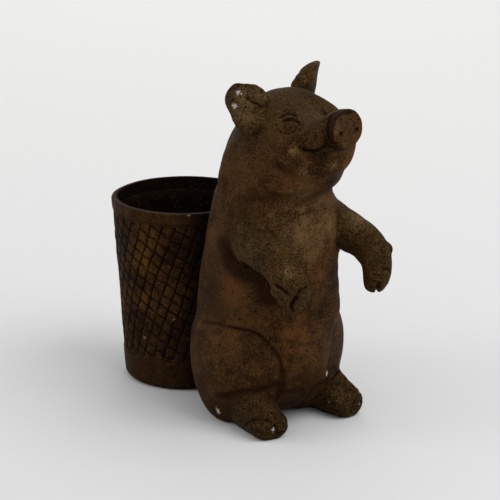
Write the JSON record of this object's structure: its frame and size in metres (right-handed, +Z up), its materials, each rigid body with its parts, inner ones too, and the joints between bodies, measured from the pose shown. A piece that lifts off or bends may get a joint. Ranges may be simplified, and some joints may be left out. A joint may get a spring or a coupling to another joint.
{
  "type": "pig figurine with basket",
  "caption": "Hollow terracotta pig that sits upright with forelegs held out, with a tapered open basket luted to its back as a planter or holder, under a dark brown patina.",
  "frame": {"origin": "on the floor, in the base of the pig, under the middle of its trunk", "axes": "+Z up; the pig faces -Y; its left side is +X; the basket stands behind it at +Y"},
  "size_m": [0.1218, 0.2522, 0.263],
  "materials": {
    "pig_patina": "low-fired terracotta under a rubbed brown patina, satin to matt, chipped at the edges",
    "basket_patina": "low-fired terracotta, incised with a diamond lattice, dark in the cuts"
  },
  "bodies": {
    "root": {"trunk_shell": "pig_patina", "trunk_base_slab": "pig_patina", "head_shell": "pig_patina", "snout_disc": "pig_patina", "eye_left": "pig_patina", "eye_right": "pig_patina", "ear_left": "pig_patina", "ear_right": "pig_patina", "foreleg_left": "pig_patina", "foreleg_right": "pig_patina", "haunch_left": "pig_patina", "haunch_right": "pig_patina", "hind_foot_left": "pig_patina", "hind_foot_right": "pig_patina", "basket_rim": "basket_patina", "basket_wall": "basket_patina", "basket_foot_ring": "basket_patina", "basket_floor": "basket_patina"}
  },
  "joints": []
}
